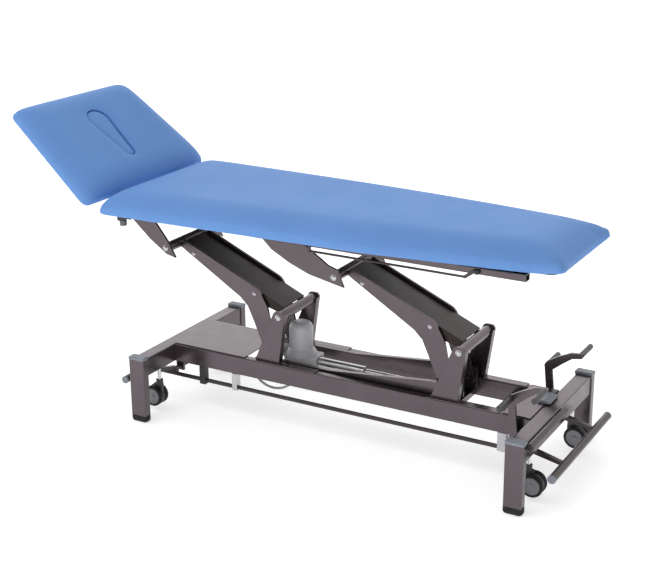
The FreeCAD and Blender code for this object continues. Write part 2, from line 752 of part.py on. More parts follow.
GUIDES = (("blocks", "558", "28", "10"), ("clamps", "-535", "22", "12"), ("stems", "-405", "19", "9"))


def pedals():
    """The pedal shaft with its two forked levers, pegs, cranks and link rods."""
    x, z = "pedal_x", "pedal_z"
    shaft_half = "pedal_y - 5"
    shaft = cylinder("pedal_shaft", "y", "pedal_r", f"2 * ({shaft_half})", (x, f"-({shaft_half})", z))
    solids, pegs = [shaft], []
    for side, across in SIDES.items():
        fork = [
            ("pedal_x + 12", "pedal_z - 14"),
            ("pedal_x + 12", "pedal_z + 14"),
            ("pedal_x + 3", "pedal_z + 96"),
            ("pedal_x + 40", "pedal_z + 126"),
            ("pedal_x + 68", "pedal_z + 146"),
            ("pedal_x + 100", "pedal_z + 152"),
            ("pedal_x + 100", "pedal_z + 168"),
            ("pedal_x + 62", "pedal_z + 164"),
            ("pedal_x + 24", "pedal_z + 146"),
            ("pedal_x - 14", "pedal_z + 124"),
            ("pedal_x - 22", "pedal_z + 112"),
            ("pedal_x - 12", "pedal_z + 20"),
            ("pedal_x - 12", "pedal_z - 14"),
        ]
        solids.append(outline(
            f"fork_{side}", "XZ_Plane", fork, "fork_thick", ("0", f"{across} * pedal_y", "0"),
        ))
        for number, (dx, dz) in enumerate(((-12, 112), (94, 160))):
            start = "pedal_y + 5" if across > 0 else "-(pedal_y + 5 + peg_long)"
            peg = cylinder(
                f"peg_{number}_{side}", "y", "peg_r", "peg_long",
                (f"{x} + ({dx})", start, f"{z} + ({dz})"),
            )
            pegs.append(rounded(f"round_peg_{number}_{side}", peg, 2.5, outer_rim(across)))
        crank = [
            ("pedal_x - 12", "pedal_z + 12"),
            ("pedal_x + 12", "pedal_z + 12"),
            ("pedal_x + 12", "link_z - 16"),
            ("pedal_x - 12", "link_z - 16"),
        ]
        blank = outline(
            f"crank_{side}", "XZ_Plane", crank, "crank_thick", ("0", f"{across} * crank_y", "0"),
        )
        slot = box(
            f"crank_slot_{side}", ("crank_slot_w", "3 * crank_thick", "crank_slot_high"),
            (x, f"{across} * crank_y", "link_z - 1"),
        )
        solids.append(cut(f"crank_slotted_{side}", blank, slot))
    node("pedal_levers", [fuse("pedal_levers_solid", solids)])
    node("pedal_pegs", pegs)

    rods, guides = [], {name: [] for name, *_ in GUIDES}
    for side, across in SIDES.items():
        y = f"{across} * link_y"
        rod = cylinder(
            f"link_{side}", "x", "link_r", "pedal_x - link_head + 8", ("link_head", y, "link_z"),
        )
        pin_start = y if across > 0 else f"{y} - link_pin_long"
        pin = cylinder(
            f"link_pin_{side}", "y", "link_pin_r", "link_pin_long", (x, pin_start, "link_z"),
        )
        rods.append(fuse(f"link_rod_{side}", [rod, pin]))
        for name, spot, width, low in GUIDES:
            high = f"beam_low - (link_z - {low})"
            block = box(
                f"{name}_blank_{side}", (width, "guide_y_w", high),
                (spot, y, f"(beam_low + link_z - {low}) / 2"),
            )
            hole = cylinder(
                f"{name}_hole_{side}", "x", "link_r + 0.4", "80", (f"{spot} - 40", y, "link_z"),
            )
            guides[name].append(cut(f"{name}_{side}", block, hole))
    node("link_rods", rods)
    for name, blocks in guides.items():
        node(f"rod_{name}", blocks)


def outer_rim(across):
    """Choose the round edge at the free end of a peg."""
    limit = size("pedal_y") + size("peg_long")
    return lambda edge: edge.BoundBox.YMin * across > limit and edge.Length > 20


def foot_bars():
    """A swinging foot bar at each end, with end caps, on a shaft held by two hangers."""
    hangers = []
    for end, sign in ENDS.items():
        pivot_x, outer_x = f"{sign} * bar_pivot_x", f"{sign} * bar_x"
        bar = bush(f"bar_{end}", "bar_r", "bar_r - 2", "bar_half", (outer_x, "0", "bar_z"))
        shaft = cylinder(
            f"bar_shaft_{end}", "y", "bar_pivot_r", "2 * (bar_arm_y + bar_arm_over)",
            (pivot_x, "-bar_arm_y - bar_arm_over", "bar_pivot_z"),
        )
        arms, caps = [], []
        for side, across in SIDES.items():
            shape = [
                (f"{pivot_x} - ({sign}) * 12", "bar_pivot_z - 10"),
                (f"{pivot_x} - ({sign}) * 12", "bar_pivot_z + 10"),
                (f"{pivot_x} + ({sign}) * 12", "bar_pivot_z + 8"),
                (f"{outer_x} - ({sign}) * (bar_r - 1)", "bar_z + 6"),
                (f"{outer_x} - ({sign}) * (bar_r - 1)", "bar_z - 6"),
                (f"{pivot_x} + ({sign}) * 12", "bar_pivot_z - 8"),
            ]
            if sign < 0:
                shape = shape[::-1]
            arms.append(outline(
                f"bar_arm_{end}_{side}", "XZ_Plane", shape, "bar_arm_w", (
                    "0", f"{across} * bar_arm_y", "0",
                ),
            ))
            cap_start = "bar_half" if across > 0 else "-bar_half - cap_long"
            cap = cylinder(
                f"bar_cap_{end}_{side}", "y", "bar_r + 0.5", "cap_long", (outer_x, cap_start, "bar_z"),
            )
            caps.append(rounded(f"bar_cap_round_{end}_{side}", cap, 2, cap_rim(across)))
            plate = box(
                f"hanger_blank_{end}_{side}",
                ("hanger_w", "hanger_thick", "beam_low - bar_pivot_z + hanger_end"),
                (pivot_x, f"{across} * hanger_y", "(beam_low + bar_pivot_z - hanger_end) / 2"),
            )
            bore = cylinder(
                f"hanger_bore_{end}_{side}", "y", "bar_pivot_r + fit", "4 * hanger_thick",
                (pivot_x, f"{across} * hanger_y - 2 * hanger_thick", "bar_pivot_z"),
            )
            hangers.append(cut(f"hanger_{end}_{side}", plate, bore))
        node(f"foot_bar_{end}", [fuse(f"foot_bar_frame_{end}", [bar, shaft, *arms])])
        node(f"foot_bar_caps_{end}", caps)
    node("bar_hangers", hangers)


def cap_rim(across):
    """Choose the outer round edge of a bar's end cap."""
    limit = size("bar_half") + 5
    return lambda edge: edge.BoundBox.YMin * across > limit and edge.Length > 50


# ---------------------------------------------------------------- top frame and upholstery

def top_frame():
    """Side tubes, cross tubes, hanging brackets and their pivot bolts."""
    tubes = [
        square_tube(
            f"side_tube_{side}", "x", ("side_foot - side_head", "side_w", "side_high"),
            ("(side_foot + side_head) / 2", f"{across} * side_y", "side_low + side_high / 2"),
        )
        for side, across in SIDES.items()
    ]
    for number, x in enumerate((-740, -205, 470)):
        tubes.append(square_tube(
            f"cross_tube_{number}", "y", ("cross_tube_w", "2 * side_y - side_w", "side_high"),
            (str(x), "0", "side_low + side_high / 2"),
        ))
    node("top_frame_tubes", tubes)

    brackets, bolts = [], []
    upper_z = f"pivot_z + {size('arm_long') * math.sin(math.radians(size('lift_angle'))):.4f}"
    back = size("arm_long") * math.cos(math.radians(size("lift_angle")))
    shapes = {
        "head": [(-165, 101.5), (-62, 101.5), (8, 26), (39, -28), (3, -20), (-62, 24)],
        "foot": [
            (-285, 101.5), (-140, 101.5), (-20, 36), (12, 26), (36, -28), (-5, -20), (-90, -3),
            (-160, 24), (-225, 58),
        ],
    }
    for end in ENDS:
        upper_x = f"pivot_{end}_x - {back:.4f}"
        for side, across in SIDES.items():
            shape = [
                (f"{upper_x} + ({dx})", "side_low" if dz > 100 else f"{upper_z} + ({dz})")
                for dx, dz in shapes[end]
            ]
            plate = outline(
                f"bracket_{end}_{side}", "XZ_Plane", shape, "plate",
                ("0", f"{across} * bracket_y", "0"),
            )
            bore = cylinder(f"bracket_bore_{end}_{side}", "y", "pin_r + fit", "2 * plate",
                            (upper_x, f"{across} * bracket_y - plate", upper_z))
            brackets.append(cut(f"hanging_bracket_{end}_{side}", plate, bore))
            bolts.extend(pivot_bolt(
                f"high_{end}_{side}", across, "bracket_y + plate / 2", (upper_x, upper_z), "22",
            ))
    node("hanging_brackets", brackets)
    node("upper_pivot_bolts", bolts)


def rounded_loop(corners, radii, height):
    """A closed level loop of straight runs joined by tangent arcs."""
    spots = [Vector(x, y, height) for x, y in corners]
    count = len(spots)
    arcs = []
    for number, (corner, radius) in enumerate(zip(spots, radii)):
        come = (corner - spots[number - 1]).normalize()
        leave = (spots[(number + 1) % count] - corner).normalize()
        half_turn = come.getAngle(leave) / 2
        back = radius * math.tan(half_turn)
        inward = (leave - come).normalize()
        middle = corner + inward * (radius / math.cos(half_turn) - radius)
        arcs.append((corner - come * back, middle, corner + leave * back))
    edges = []
    for number, arc in enumerate(arcs):
        edges.append(Part.Arc(*arc).toShape())
        edges.append(Part.LineSegment(arc[2], arcs[(number + 1) % count][0]).toShape())
    return Part.Wire(edges)


def loose(name, shape):
    """A drawn shape as a piece of the document."""
    piece = doc.addObject("Part::Feature", name)
    piece.Shape = shape
    return piece


# Each level of a cushion: share of its thickness, share of the roll taken off, and corner growth.
CUSHION_LEVELS = ((0.0, 0.0, -8), (0.17, 0.0, 0), (0.62, 0.16, 8), (0.87, 0.47, 20), (1.0, 1.0, 36))


def cushion(name, plan, low, thick):
    """A cushion whose upper edge rolls in to a flat top and whose lower edge tucks under."""
    loops = []
    for number, (share, roll, growth) in enumerate(CUSHION_LEVELS):
        under = size("under") if number == 0 else 0
        corners, radii = plan(roll, under, size("corner_r_plan") + growth)
        loops.append(rounded_loop(corners, radii, low + share * thick))
    return loose(name, Part.makeLoft(loops, True, True))


def main_plan(roll, inset, radius):
    """Corners and radii of the main section with a share of its roll and an inset taken off."""
    side = roll * size("side_roll") + inset
    head = size("main_head") + roll * size("head_roll") + inset
    foot = size("main_foot") - roll * size("foot_roll") - inset
    half, waist, end = (size(name) - side for name in ("main_half", "waist_half", "foot_half"))
    waist_x = size("waist_x")
    corners = [
        (head, -half), (waist_x, -waist), (foot, -end), (foot, end), (waist_x, waist), (head, half),
    ]
    return corners, [radius, size("waist_r"), radius, radius, size("waist_r"), radius]


def head_plan(roll, inset, radius):
    """Corners and radii of the head section, in its own frame."""
    start = -size("head_start") - roll * size("hinge_roll") - inset
    end = -size("head_start") - size("head_long") + roll * size("side_roll") + inset
    half = size("head_half") - roll * size("side_roll") - inset
    end_half = size("head_end_half") - roll * size("side_roll") - inset
    corners = [(start, -half), (start, half), (end, end_half), (end, -end_half)]
    return corners, [radius] * 4


def board(name, plan, low):
    """The flat board let into the underside of a cushion."""
    corners, radii = plan(0, size("under") + size("board_inset"), size("corner_r_plan"))
    face = Part.Face(rounded_loop(corners, radii, low))
    return loose(name, face.extrude(Vector(0, 0, size("board"))))


def main_section():
    """The main board and the cushion round it."""
    low = size("main_low")
    notch = box(
        "hinge_notch", ("2 * notch", "2 * notch_half", "2 * main_thick"),
        ("main_head", "0", "main_low + main_thick / 2"),
    )
    plate = cut("main_board_notched", board("main_board_plate", main_plan, low - 1), notch)
    node("main_board", [plate])
    padding = cut("main_padding", cushion("main_pillow", main_plan, low, size("main_thick")), notch)
    node("main_cushion", [cut("main_cushion_solid", padding, plate)])


def plug_outline(name, spread, thick, middle_z):
    """A teardrop prism: a wide round end, a slim round end and two tangent sides."""
    wide, slim, reach = size("plug_wide_r") + spread, size("plug_slim_r") + spread, size("plug_reach")
    lean = math.asin((wide - slim) / reach)
    wide_x, slim_x = -size("plug_x") - reach / 2, -size("plug_x") + reach / 2
    y = size("plug_y")
    touch = [Vector(centre + r * math.sin(lean), y + s * r * math.cos(lean), 0)
             for centre, r in ((wide_x, wide), (slim_x, slim)) for s in (-1, 1)]
    wide_low, wide_high, slim_low, slim_high = touch
    edges = [
        Part.Arc(wide_low, Vector(wide_x - wide, y, 0), wide_high).toShape(),
        Part.LineSegment(wide_high, slim_high).toShape(),
        Part.Arc(slim_high, Vector(slim_x + slim, y, 0), slim_low).toShape(),
        Part.LineSegment(slim_low, wide_low).toShape(),
    ]
    prism = Part.Face(Part.Wire(edges)).extrude(Vector(0, 0, thick))
    prism.translate(Vector(0, 0, middle_z - thick / 2))
    return loose(name, prism)


def head_section():
    """The head board, cushion, face plug and hinge, in the head section's frame."""
    where = ("hinge_x", "0", "hinge_z")
    thick = size("head_thick")
    drop = size("head_drop")
    middle = thick / 2 - drop
    plate = board("head_board_plate", head_plan, -drop - 1)
    pillow = cushion("head_pillow", head_plan, -drop, thick)
    hole = plug_outline("face_hole", size("plug_clear"), thick + 20, middle)
    padding = cut("head_padding", pillow, plate)
    node("head_cushion", [cut("head_cushion_solid", padding, hole)], where, "head_tilt")
    node("face_plug", [plug_outline("plug_solid", 0, thick - 6, middle)], where, "head_tilt")
    slot = plug_outline("board_hole", size("plug_clear"), thick + 20, middle)
    node("head_board", [cut("head_board_solid", plate, slot)], where, "head_tilt")

    arms, lugs = [], []
    floor = "-(head_drop + 1)"
    for side, across in SIDES.items():
        y = f"{across} * (lug_y + lug_w + 2)"
        upright = box(f"head_lug_{side}", (
            "2 * lug_half", "lug_w", "lug_half + head_drop + 1 + 10",
        ),
                      ("0", y, f"(lug_half + {floor} - 10) / 2"))
        strap = box(
            f"head_strap_{side}", ("300", "lug_w", "10"), ("-150 + lug_half", y, f"{floor} - 5"),
        )
        bore = cylinder(
            f"head_lug_bore_{side}", "y", "hinge_pin_r + fit", "40", ("0", f"{y} - 20", "0"),
        )
        arms.append(cut(f"head_arm_{side}", fuse(f"head_arm_solid_{side}", [upright, strap]), bore))
        stand_low = "side_low + 4"
        stand = box(f"hinge_stand_{side}", (
            "2 * lug_half", "lug_w", f"hinge_z + lug_half - ({stand_low})",
        ),
                    ("hinge_x", f"{across} * lug_y", f"(hinge_z + lug_half + {stand_low}) / 2"))
        foot = box(f"hinge_foot_{side}", ("side_head - hinge_x + lug_half", "lug_w", "14"),
                   ("(side_head + hinge_x - lug_half) / 2", f"{across} * lug_y", f"{stand_low} + 7"))
        pin_start = f"{across} * lug_y" if across > 0 else "-(lug_y + lug_w + 8)"
        pin = cylinder(
            f"hinge_pin_{side}", "y", "hinge_pin_r", "lug_w + 8", ("hinge_x", pin_start, "hinge_z"),
        )
        lugs.append(fuse(f"hinge_base_{side}", [stand, foot, pin]))
    node("head_hinge_arms", arms, where, "head_tilt")
    node("head_hinge_stands", lugs)


def release_levers():
    """The release rod along the near side and the grip under the head end."""
    bar = cylinder(
        "release_bar", "x", "rod_wire_r", "rod_foot - rod_head", ("rod_head", "rod_y", "rod_z"),
    )
    head_arm = [
        ("rod_head - 4", "rod_z - rod_wire_r"),
        ("rod_head + 4", "rod_z - rod_wire_r"),
        ("rod_head + 4", "rod_pivot_z + 4"),
        ("rod_head - 4", "rod_pivot_z + 4"),
    ]
    foot_arm = [
        ("rod_foot - 4", "rod_z - rod_wire_r"),
        ("rod_foot + 3", "rod_z - rod_wire_r"),
        ("rod_foot + 30", "rod_pivot_z - 4"),
        ("rod_foot + 30", "rod_pivot_z + 4"),
        ("rod_foot + 24", "rod_pivot_z + 4"),
        ("rod_foot - 4", "rod_z + rod_wire_r"),
    ]
    ends = {"head": ("rod_head", -1, head_arm), "foot": ("rod_foot + 26", 1, foot_arm)}
    wires, clips = [bar], []
    for name, (x, outward, arm) in ends.items():
        wires.append(outline(
            f"release_arm_{name}", "XZ_Plane", arm, "2 * rod_wire_r", ("0", "rod_y", "0"),
        ))
        stub_start = x if outward > 0 else f"{x} - 16"
        wires.append(cylinder(
            f"release_stub_{name}", "x", "3", "16", (stub_start, "rod_y", "rod_pivot_z"),
        ))
        clip_x = f"{x} + ({outward}) * 11"
        clip = box(f"clip_blank_{name}", ("10", "13", "12"), (clip_x, "rod_y + 0.5", "rod_pivot_z"))
        hole = cylinder(
            f"clip_hole_{name}", "x", "3 + fit", "40", (f"{clip_x} - 20", "rod_y", "rod_pivot_z"),
        )
        clips.append(cut(f"clip_{name}", clip, hole))
    node("release_rod", [fuse("release_rod_solid", wires)])
    ears = []
    for side, across in SIDES.items():
        ears.append(box(
            f"grip_ear_{side}", ("side_head - grip_x + grip_r", "3", "36"),
            (
                "(side_head + grip_x - grip_r) / 2", f"grip_y + ({across}) * (grip_r + 2)",
                "grip_pin_z + 11",
            ),
        ))
    pin = cylinder(
        "grip_pin", "y", "2.5", "2 * grip_r + 5", ("grip_x", "grip_y - grip_r - 2.5", "grip_pin_z"),
    )
    node("release_clips", [*clips, fuse("grip_clevis", [*ears, pin])])
    stem = cylinder(
        "grip_stem", "z", "grip_r", "grip_long", ("grip_x", "grip_y", "grip_pin_z + 9 - grip_long"),
    )
    stem = rounded("grip_round", stem, 3, lambda edge: edge.BoundBox.ZMax < size("grip_pin_z"))
    bore = cylinder(
        "grip_bore", "y", "2.5 + fit", "4 * grip_r", ("grip_x", "grip_y - 2 * grip_r", "grip_pin_z"),
    )
    node("release_grip", [cut("release_grip_solid", stem, bore)])


base_frame()
towers()
lift_arms()
drive()
covers()
electrics()
castors()
pedals()
foot_bars()
top_frame()
main_section()
head_section()
release_levers()
doc.recompute()


# ---------------------------------------------------------------- checks and files

for thing in doc.Objects:
    if "Invalid" in thing.State or "Error" in thing.State:
        raise RuntimeError(f"{thing.Label} failed: {thing.State}")
for thing in NODES:
    if thing.Shape.isNull() or not thing.Shape.isValid():
        raise RuntimeError(f"{thing.Label} has no valid shape")

os.makedirs("parts", exist_ok=True)
for thing in NODES:
    thing.Shape.exportStep(os.path.join("parts", thing.Label + ".step"))

whole = Part.makeCompound([thing.Shape for thing in NODES])
span = whole.BoundBox
print("nodes", len(NODES), "X", round(span.XMin, 1), round(span.XMax, 1),
      "Y", round(span.YMin, 1), round(span.YMax, 1), "Z", round(span.ZMin, 1), round(span.ZMax, 1))
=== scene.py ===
"""The looks of the examination couch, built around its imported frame."""

import json
import math

import bmesh
import bpy
import numpy as np
from mathutils import Matrix, Vector


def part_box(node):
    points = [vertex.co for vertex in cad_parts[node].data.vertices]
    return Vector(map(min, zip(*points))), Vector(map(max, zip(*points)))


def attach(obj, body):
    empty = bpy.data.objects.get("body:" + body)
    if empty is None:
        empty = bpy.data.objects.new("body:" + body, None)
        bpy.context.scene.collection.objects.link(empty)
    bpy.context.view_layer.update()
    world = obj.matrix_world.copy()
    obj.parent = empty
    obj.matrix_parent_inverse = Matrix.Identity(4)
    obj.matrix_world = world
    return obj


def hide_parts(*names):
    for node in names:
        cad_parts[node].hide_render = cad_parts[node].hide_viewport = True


MM = 0.001
BASE_X = 0.1879

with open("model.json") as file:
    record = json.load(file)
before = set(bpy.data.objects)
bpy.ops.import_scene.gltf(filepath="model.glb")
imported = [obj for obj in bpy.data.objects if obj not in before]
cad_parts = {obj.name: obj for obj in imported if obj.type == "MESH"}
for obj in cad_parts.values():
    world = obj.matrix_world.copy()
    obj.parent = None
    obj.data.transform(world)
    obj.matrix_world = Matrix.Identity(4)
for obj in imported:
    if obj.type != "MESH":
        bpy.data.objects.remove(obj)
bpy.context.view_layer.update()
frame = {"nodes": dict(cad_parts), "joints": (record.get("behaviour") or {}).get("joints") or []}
JOINTS = {joint["name"]: joint for joint in frame["joints"]}


# ---------------------------------------------------------------- camera

CAMERA_SPOT = (2.1074, -3.5394, 1.8899)
CAMERA_DOWN, CAMERA_TURN = 18.034, 28.472
FOCAL_LENGTH, SENSOR_WIDTH = 72.91, 36
LENS_SHIFT = (-0.0460, -0.0359)


def make_camera():
    """A long lens looking down on the near side from the foot end."""
    data = bpy.data.cameras.new("camera")
    camera = bpy.data.objects.new("camera", data)
    bpy.context.scene.collection.objects.link(camera)
    camera.location = CAMERA_SPOT
    camera.rotation_euler = (math.radians(90 - CAMERA_DOWN), 0, math.radians(CAMERA_TURN))
    data.lens = FOCAL_LENGTH
    data.sensor_width = SENSOR_WIDTH
    data.shift_x, data.shift_y = LENS_SHIFT
    bpy.context.scene.camera = camera


make_camera()


# ---------------------------------------------------------------- shader helpers

class Shader:
    """A node material whose textures lie in the space of the object."""

    def __init__(self, name, rough=0.5, metallic=0.0, specular=0.5):
        self.material = bpy.data.materials.new(name)
        self.material.use_nodes = True
        self.nodes = self.material.node_tree.nodes
        self.links = self.material.node_tree.links
        self.surface = self.nodes["Principled BSDF"]
        self.surface.inputs["Roughness"].default_value = rough
        self.surface.inputs["Metallic"].default_value = metallic
        self.surface.inputs["Specular IOR Level"].default_value = specular
        self.coords = self.nodes.new("ShaderNodeTexCoord").outputs["Object"]

    def stretched(self, scale):
        """Object coordinates scaled apart along each axis."""
        mapping = self.nodes.new("ShaderNodeMapping")
        mapping.inputs["Scale"].default_value = scale
        self.links.new(self.coords, mapping.inputs["Vector"])
        return mapping.outputs["Vector"]

    def noise(self, scale, detail=3.0, rough=0.5, coords=None):
        """Soft noise."""
        texture = self.nodes.new("ShaderNodeTexNoise")
        texture.inputs["Scale"].default_value = scale
        texture.inputs["Detail"].default_value = detail
        texture.inputs["Roughness"].default_value = rough
        self.links.new(coords or self.coords, texture.inputs["Vector"])
        return texture.outputs["Fac"]

    def cells(self, scale):
        """Distance to the nearest of many scattered points."""
        texture = self.nodes.new("ShaderNodeTexVoronoi")
        texture.feature = "SMOOTH_F1"
        texture.inputs["Scale"].default_value = scale
        texture.inputs["Smoothness"].default_value = 0.6
        self.links.new(self.coords, texture.inputs["Vector"])
        return texture.outputs["Distance"]

    def span(self, value, low, high, to_low=0.0, to_high=1.0):
        """A value stretched from one range to another, held at the ends."""
        stretch = self.nodes.new("ShaderNodeMapRange")
        for name, number in (
            ("From Min", low), ("From Max", high), ("To Min", to_low), ("To Max", to_high),
        ):
            stretch.inputs[name].default_value = number
        self.links.new(value, stretch.inputs["Value"])
        return stretch.outputs["Result"]

    def math(self, kind, first, second):
        """One arithmetic step on two values or numbers."""
        step = self.nodes.new("ShaderNodeMath")
        step.operation = kind
        for socket, value in zip(step.inputs, (first, second)):
            if isinstance(value, (int, float)):
                socket.default_value = value
            else:
                self.links.new(value, socket)
        return step.outputs["Value"]

    def mix(self, share, first, second):
        """A colour between two colours, by a share."""
        blend = self.nodes.new("ShaderNodeMix")
        blend.data_type = "RGBA"
        self.links.new(share, blend.inputs["Factor"])
        for socket, colour in ((blend.inputs[6], first), (blend.inputs[7], second)):
            if isinstance(colour, tuple):
                socket.default_value = (*colour, 1)
            else:
                self.links.new(colour, socket)
        return blend.outputs[2]

    def edges(self, radius):
        """(normal rounded over edges, 0 to 1 mask of the edges)."""
        bevel = self.nodes.new("ShaderNodeBevel")
        bevel.samples = 4
        bevel.inputs["Radius"].default_value = radius
        flat = self.nodes.new("ShaderNodeNewGeometry").outputs["Normal"]
        dot = self.nodes.new("ShaderNodeVectorMath")
        dot.operation = "DOT_PRODUCT"
        self.links.new(bevel.outputs["Normal"], dot.inputs[0])
        self.links.new(flat, dot.inputs[1])
        return bevel.outputs["Normal"], self.span(dot.outputs["Value"], 0.99, 0.86)

    def finish(self, colour, rough=None, height=None, strength=0.1, depth=0.0003, normal=None):
        """Wire colour, roughness and relief into the surface."""
        self.links.new(colour, self.surface.inputs["Base Color"])
        if rough is not None:
            self.links.new(rough, self.surface.inputs["Roughness"])
        if height is not None:
            bump = self.nodes.new("ShaderNodeBump")
            bump.inputs["Strength"].default_value = strength
            bump.inputs["Distance"].default_value = depth
            self.links.new(height, bump.inputs["Height"])
            if normal is not None:
                self.links.new(normal, bump.inputs["Normal"])
            normal = bump.outputs["Normal"]
        if normal is not None:
            self.links.new(normal, self.surface.inputs["Normal"])
        return self.material


def scaled(colour, factor):
    """A colour made lighter or darker."""
    return tuple(min(1.0, channel * factor) for channel in colour)


def coated(name, colour, rough, metallic, edge_light=1.5, peel=0.25):
    """Powder-coated or painted metal with fine orange peel and lightly rubbed edges."""
    shader = Shader(name, rough, metallic)
    normal, edge = shader.edges(1.2 * MM)
    cloud = shader.span(shader.noise(7, 4), 0.3, 0.7)
    grain = shader.span(shader.noise(1400, 2), 0.35, 0.65)
    base = shader.mix(cloud, scaled(colour, 0.92), scaled(colour, 1.06))
    speckled = shader.mix(shader.math("MULTIPLY", grain, 0.05), base, scaled(colour, 1.4))
    rubbed = shader.math("MULTIPLY", edge, shader.span(shader.noise(60, 3), 0.35, 0.7, 0.15, 0.7))
    tone = shader.mix(rubbed, speckled, scaled(colour, edge_light))
    smear = shader.span(shader.noise(18, 5, 0.6), 0.3, 0.75, rough - 0.05, rough + 0.08)
    relief = shader.math("ADD", shader.noise(420, 2), shader.math("MULTIPLY", grain, 0.3))
    return shader.finish(tone, smear, relief, peel, 0.15 * MM, normal)


def moulded(name, colour, rough, grain=900, relief=0.25, edge_light=1.25):
    """Moulded plastic with a fine spark-eroded grain."""
    shader = Shader(name, rough)
    normal, edge = shader.edges(1.0 * MM)
    cloud = shader.span(shader.noise(14, 4), 0.3, 0.7)
    base = shader.mix(cloud, scaled(colour, 0.9), scaled(colour, 1.08))
    tone = shader.mix(shader.math("MULTIPLY", edge, 0.45), base, scaled(colour, edge_light))
    smear = shader.span(shader.noise(40, 4), 0.3, 0.7, rough - 0.06, rough + 0.08)
    return shader.finish(tone, smear, shader.noise(grain, 3), relief, 0.2 * MM, normal)


def rubber(name, colour):
    """Dull black rubber with a little dust."""
    shader = Shader(name, 0.75, specular=0.3)
    normal, edge = shader.edges(1.0 * MM)
    dust = shader.span(shader.noise(45, 6, 0.65), 0.45, 0.8)
    base = shader.mix(dust, colour, scaled(colour, 2.2))
    tone = shader.mix(shader.math("MULTIPLY", edge, 0.3), base, scaled(colour, 2.4))
    return shader.finish(tone, None, shader.noise(700, 3), 0.35, 0.2 * MM, normal)


def plated(name, colour, rough, scratch_axis):
    """Bright plated steel with fine drawn scratches along one axis."""
    shader = Shader(name, rough, 1.0)
    normal, edge = shader.edges(0.6 * MM)
    scale = tuple(0.03 if axis == scratch_axis else 1.0 for axis in "xyz")
    drawn = shader.noise(1600, 2, coords=shader.stretched(scale))
    cloud = shader.span(shader.noise(25, 4), 0.3, 0.7)
    tone = shader.mix(cloud, scaled(colour, 0.86), colour)
    tone = shader.mix(edge, tone, scaled(colour, 1.1))
    smear = shader.span(drawn, 0.3, 0.7, rough - 0.05, rough + 0.12)
    return shader.finish(tone, smear, drawn, 0.12, 0.1 * MM, normal)


def stained_ply(name, colour):
    """Dark stained plywood with long grain."""
    shader = Shader(name, 0.6)
    normal, edge = shader.edges(0.8 * MM)
    long_grain = shader.stretched((1.0, 14.0, 14.0))
    streak = shader.span(shader.noise(9, 6, 0.6, long_grain), 0.3, 0.7)
    base = shader.mix(streak, scaled(colour, 0.6), scaled(colour, 1.5))
    tone = shader.mix(shader.math("MULTIPLY", edge, 0.5), base, scaled(colour, 2.2))
    return shader.finish(tone, None, streak, 0.3, 0.3 * MM, normal)


def vinyl(name, colour):
    """Upholstery vinyl: pebbled grain, faint creases and slow colour changes."""
    shader = Shader(name, 0.55, specular=0.08)
    shader.surface.inputs["Sheen Weight"].default_value = 0.02
    shader.surface.inputs["Sheen Roughness"].default_value = 0.4
    cloud = shader.span(shader.noise(3.2, 3), 0.3, 0.7)
    base = shader.mix(cloud, scaled(colour, 0.955), scaled(colour, 1.035))
    pebble = shader.cells(620)
    pores = shader.span(shader.noise(2100, 2), 0.3, 0.62)
    shade = shader.span(pebble, 0.15, 0.75)
    tone = shader.mix(shader.math("MULTIPLY", shade, 0.16), base, scaled(colour, 0.72))
    smear = shader.span(shader.noise(11, 5, 0.6), 0.3, 0.75, 0.50, 0.62)
    creases = shader.math("MULTIPLY", shader.noise(34, 4, 0.55), 3.0)
    grain = shader.math("ADD", pebble, shader.math("MULTIPLY", pores, 0.3))
    relief = shader.math("ADD", grain, creases)
    return shader.finish(tone, smear, relief, 0.22, 0.25 * MM)


PAINT = coated("frame_paint", (0.118, 0.099, 0.108), 0.24, 0.88, peel=0.03)
# The arm channels carry the same frame paint. This darker, duller copy is painted shade, because
# the channels lie in the shade of the cushion above.
CHANNEL_PAINTED_SHADE = coated("channel_paint", (0.022, 0.015, 0.013), 0.34, 0.60, peel=0.03)
DARK_PAINT = coated("dark_paint", (0.060, 0.048, 0.050), 0.30, 0.5, 1.9)
BLACK_PLASTIC = moulded("black_plastic", (0.018, 0.018, 0.020), 0.45, edge_light=2.4)
BLUE_GREY_PLASTIC = moulded("blue_grey_plastic", (0.215, 0.232, 0.270), 0.46)
LIGHT_PLASTIC = moulded("light_grey_plastic", (0.52, 0.52, 0.54), 0.42)
PEG_PLASTIC = moulded("peg_plastic", (0.055, 0.050, 0.054), 0.46)
GRIP_PLASTIC = moulded("grip_plastic", (0.16, 0.17, 0.18), 0.5)
CASTOR_PLASTIC = moulded("castor_plastic", (0.045, 0.045, 0.05), 0.5, edge_light=2.0)
HUB_PLASTIC = moulded("hub_plastic", (0.20, 0.205, 0.22), 0.42)
SHEATH = moulded("cable_sheath", (0.40, 0.40, 0.41), 0.5)
TYRE = rubber("tyre_rubber", (0.016, 0.016, 0.017))
BOOT = rubber("boot_rubber", (0.014, 0.014, 0.015))
STEEL = plated("bright_steel", (0.72, 0.72, 0.74), 0.22, "z")
ROD_STEEL = plated("rod_steel", (0.54, 0.53, 0.53), 0.24, "x")
PLY = stained_ply("stained_ply", (0.030, 0.024, 0.021))
VINYL = vinyl("blue_vinyl", (0.156, 0.326, 0.700))

